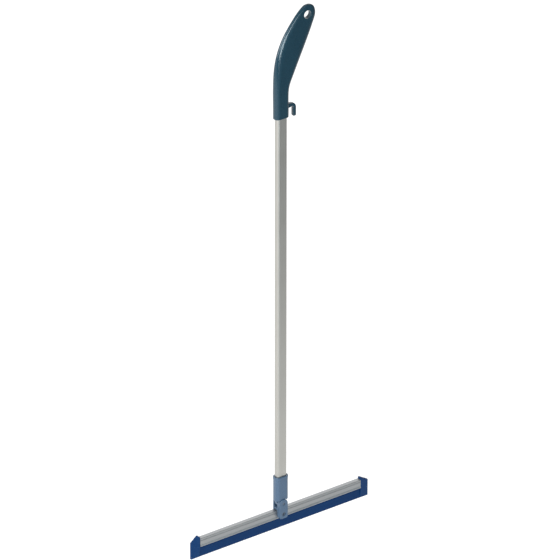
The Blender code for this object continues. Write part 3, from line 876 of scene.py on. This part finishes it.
hookSpec = {
    "start": 0.0125,       # inside the grip
    "straight": 0.0080,
    "top": 0.0260,         # above the grip's bottom
    "halfDepth": 0.0042,
    "thickness": 0.0088,
    "corner": 0.0016,
    "neck": 0.773,         # how much the arm thins before the bend
    "bendX": 0.0245,
    "bendDown": 0.0108,    # the bend's centre below the top
    "armX": 0.0319,
    "drops": ((0.0106, 1), (0.0062, 1), (0.0016, 0.93), (0.0011, 0.78), (0.0006, 0.5)),
}


def gripLoop(g):
    # side outline as (x, height), closed and smooth
    w = g["halfWidth"]
    left = [(-w, -0.080), (-w, -0.020), (-w, 0.021), (-w - 0.0005, 0.066), (-w + 0.0005, 0.1045),
            (-0.0097, 0.1396), (0.0046, 0.1722), (0.0262, 0.2017), (0.0464, 0.2222)]
    crown = [(0.0643, 0.2303), (0.0790, 0.2243), (0.0838, 0.2066)]
    right = [(0.0757, 0.1833), (0.0613, 0.1518), (0.0458, 0.1208), (0.0296, 0.0888), (0.0196, 0.0682),
             (w, 0.050), (w, 0.021), (w, -0.020), (w, -0.080)]
    points = [Vector(p) for p in left + crown + right]
    steps = 24
    out = []
    for i in range(len(points)):
        before, start, end, after = (points[(i + k) % len(points)] for k in (-1, 0, 1, 2))
        slope = end - before
        bend = 2 * before - 5 * start + 4 * end - after
        twist = 3 * start - before - 3 * end + after
        for step in range(steps):
            t = step / steps
            out.append(0.5 * (2 * start + slope * t + bend * t * t + twist * t ** 3))
    return out


def edgesAt(loop, height):
    # left and right edge of the outline at a height
    crossings = []
    for a, b in zip(loop, loop[1:] + loop[:1]):
        if (a.y - height) * (b.y - height) <= 0 and a.y != b.y:
            crossings.append(a.x + (b.x - a.x) * (height - a.y) / (b.y - a.y))
    return min(crossings), max(crossings)


def depthAt(g, height, top):
    # half depth: deep at the pole, thin in the paddle, rolled over at the crown
    t = (height - g["paddleStart"]) / (g["paddleEnd"] - g["paddleStart"])
    t = min(max(t, 0), 1)
    depth = g["halfDepth"] + (g["paddleDepth"] - g["halfDepth"]) * t * t * (3 - 2 * t)
    roll = min((top - height) / g["crownRoll"], 1)
    return depth * math.sqrt(max(1 - (1 - roll) ** 2, 0.0))


def makeGripForm(g, planeY):
    loop = gripLoop(g)
    top = max(p.y for p in loop) - 0.00002
    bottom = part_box("grip_front_shell")[1].z - top
    grip = addRoundedSection("grip", (0, planeY, bottom), 2 * g["halfWidth"], 2 * g["halfDepth"],
                             g["corner"], 12)
    pickAll(grip)
    heights = [top * (1 - (1 - i / g["stations"]) ** g["crowding"]) for i in range(1, g["stations"])]
    heights += [top - 0.00045, top - 0.00012]
    x, halfWidth, halfDepth, z = 0.0, g["halfWidth"], g["halfDepth"], 0.0
    for height in heights:
        left, right = edgesAt(loop, height)
        newX, newWidth, newDepth = (left + right) / 2, (right - left) / 2, depthAt(g, height, top)
        extrude(newX - x, 0, height - z)
        bpy.ops.transform.resize(value=(newWidth / halfWidth, newDepth / halfDepth, 1),
                                 center_override=(newX, planeY, bottom + height))
        x, halfWidth, halfDepth, z = newX, newWidth, newDepth, height
    leaveEdit()
    fixNormals(grip)
    return grip, bottom


def makeHook(h, planeY, bottom):
    # out from the grip, round a bend and down to a soft tip
    top = bottom + h["top"]
    deselectAll()
    bpy.ops.mesh.primitive_plane_add(size=1, location=(h["start"], planeY, top - h["thickness"] / 2),
                                     rotation=(0, math.pi / 2, 0))
    bpy.context.object.scale = (h["thickness"], 2 * h["halfDepth"], 1)
    hook = settle("hook")
    pickAll(hook)
    bpy.ops.mesh.bevel(offset=h["corner"], segments=4, affect="VERTICES")
    leaveEdit()
    pickAll(hook)
    extrude(h["straight"], 0, 0)
    extrude(h["bendX"] - h["start"] - h["straight"], 0, 0)
    bpy.ops.transform.resize(value=(1, 1, h["neck"]), center_override=(h["bendX"], planeY, top))
    bend = Vector((h["bendX"], planeY, top - h["bendDown"]))
    turn = math.radians(-10)       # with no window, rotate turns the other way
    for step in range(9):
        extrude(0, 0, 0)
        bpy.ops.transform.rotate(value=turn, orient_axis="Y", center_override=bend)
    for drop, shrink in h["drops"]:
        extrude(0, 0, -drop)
        if shrink < 1:
            bpy.ops.transform.resize(value=(shrink, shrink, 1), center_override=(h["armX"], planeY, 0))
    leaveEdit()
    fixNormals(hook)
    return hook


def makeGrip(g):
    planeY = middle("pole_tube").y
    grip, bottom = makeGripForm(g, planeY)
    combine(grip, makeHook(hookSpec, planeY, bottom), "UNION")
    combine(grip, addPoleBore(poleSpec, planeY, bottom - g["boreLead"], g["boreLead"] + g["boreHeight"]))
    mounts = {mount["name"]: mount for mount in frame["record"]["mounts"]}
    holeX, holeY, holeZ = mounts["hanging_hole"]["pos_m"]
    combine(grip, addRod("hangingHole", g["holeRadius"], -0.05, 0.05, holeX, holeZ))
    onRim = lambda p: abs(math.hypot(p.x - holeX, p.z - holeZ) - g["holeRadius"]) < 0.0002
    bevelWhere(grip, onRim, g["holeSoft"], 4, 40)
    bevelWhere(grip, lambda p: abs(p.z - bottom) < 1e-5, g["bottomSoft"], 3, 40)
    combine(grip, addRod("pinHole", g["pinHole"], planeY + 0.006, 0.05, 0, middle("grip_pin").z, 32))
    for node, name, side in (("grip_front_shell", "gripFront", -1), ("grip_rear_shell", "gripRear", 1)):
        half = copyPiece(grip, name)
        partY = planeY + side * g["partGap"]
        pickAll(half)
        bpy.ops.mesh.bisect(plane_co=(0, partY, 0), plane_no=(0, -side, 0), use_fill=True, clear_outer=True)
        leaveEdit()
        bevelWhere(half, lambda p: abs(p.y - partY) < 1e-6, g["seam"], 1, 60)
        finishPiece(half, "handle", materials["grip"], node, 35)
    bpy.data.objects.remove(grip, do_unlink=True)


makeGrip(gripSpec)
print("grip made")


fixingSpec = {
    "screwHead": 0.0030,   # height of the screw's head
    "headRim": 0.0014,
    "headDip": 0.0003,
    "headSoft": 0.0003,
    "screwShank": 0.0023,
    "keyRadius": 0.0021,   # to the corners of its hexagon socket
    "keyDepth": 0.0018,
    "pinSoft": 0.0003,
    "pinRing": 0.45,       # share of a pin's radius outside the ring on its end
    "pivotHead": 0.0050,
    "pivotHeadDepth": 0.0012,
    "pivotShank": 0.0030,
    "pivotSoft": 0.0004,
    "thread": 0.00245,
    "nutSoft": 0.0003,
    "washerBore": 0.00325,
    "washerSoft": 0.00015,
}


def makeScrew(f):
    low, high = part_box("bracket_screw")
    z = (low.z + high.z) / 2
    headEnd = low.y + f["screwHead"]
    screw = addRod("bracketScrew", (high.z - low.z) / 2, low.y, headEnd, 0, z)
    pick(screw, "FACE", lambda face: face.normal.y < -0.9)
    bpy.ops.mesh.inset(thickness=f["headRim"])
    extrude(0, f["headDip"], 0)
    leaveEdit()
    bevelWhere(screw, lambda p: p.y < low.y + 1e-5, f["headSoft"], 3, 50)
    combine(screw, addRod("shank", f["screwShank"], headEnd - 0.0005, high.y, 0, z, 40), "UNION")
    combine(screw, addRod("hexagon", f["keyRadius"], low.y - 0.01, low.y + f["keyDepth"], 0, z, 6))
    finishPiece(screw, "head", materials["dullSteel"], "bracket_screw", 30)


def makePivotPin(f):
    low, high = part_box("pivot_pin")
    headStart = high.y - f["pivotHeadDepth"]
    pin = addRod("pivotPin", f["pivotHead"], headStart, high.y, 0, hinge.z)
    bevelWhere(pin, lambda p: p.y > high.y - 1e-5, f["pivotSoft"], 4, 50)
    shank = addRod("shank", f["pivotShank"], low.y, headStart + 0.0004, 0, hinge.z)
    bevelWhere(shank, lambda p: p.y < low.y + 1e-5, f["pivotSoft"], 3, 50)
    combine(pin, shank, "UNION")
    finishPiece(pin, "head", materials["dullSteel"], "pivot_pin", 30)


def makeNut(f):
    low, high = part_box("bracket_nut")
    z = (low.z + high.z) / 2
    nut = addRod("bracketNut", (high.z - low.z) / 2, low.y, high.y, 0, z, 6)
    bevelWhere(nut, lambda p: p.y > high.y - 1e-5, f["nutSoft"], 2, 50)
    combine(nut, addRod("thread", f["thread"], -0.01, 0.03, 0, z, 40))
    finishPiece(nut, "head", materials["steel"], "bracket_nut", 30)


def makeWasher(f, node, name):
    low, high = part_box(node)
    washer = addRod(name, (high.z - low.z) / 2, low.y, high.y, 0, hinge.z)
    combine(washer, addRod("bore", f["washerBore"], -0.02, 0.02, 0, hinge.z))
    bevelWhere(washer, lambda p: True, f["washerSoft"], 2, 50)
    finishPiece(washer, "head", materials["steel"], node, 30)


def makePin(f, node, name, body):
    low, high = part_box(node)
    radius = (high.z - low.z) / 2
    pin = addRod(name, radius, low.y, high.y, (low.x + high.x) / 2, (low.z + high.z) / 2, 48)
    bevelWhere(pin, lambda p: True, f["pinSoft"], 3, 50)
    pick(pin, "FACE", lambda face: abs(face.normal.y) > 0.95)
    bpy.ops.mesh.inset(thickness=radius * f["pinRing"])
    leaveEdit()
    finishPiece(pin, body, materials["steel"], node, 30)


makeScrew(fixingSpec)
makePivotPin(fixingSpec)
makeNut(fixingSpec)
makeWasher(fixingSpec, "pivot_washer_front", "pivotWasherFront")
makeWasher(fixingSpec, "pivot_washer_rear", "pivotWasherRear")
makePin(fixingSpec, "end_cap_pin_left", "endCapPinLeft", "head")
makePin(fixingSpec, "end_cap_pin_right", "endCapPinRight", "head")
makePin(fixingSpec, "socket_pin", "socketPin", "handle")
makePin(fixingSpec, "grip_pin", "gripPin", "handle")

for node, finish in (("pole_foot_plug", "plug"), ("pole_top_plug", "plug"), ("pivot_bush", "bush")):
    for materialSlot in frame["nodes"][node].material_slots:
        materialSlot.material = materials[finish]
print("small parts made")
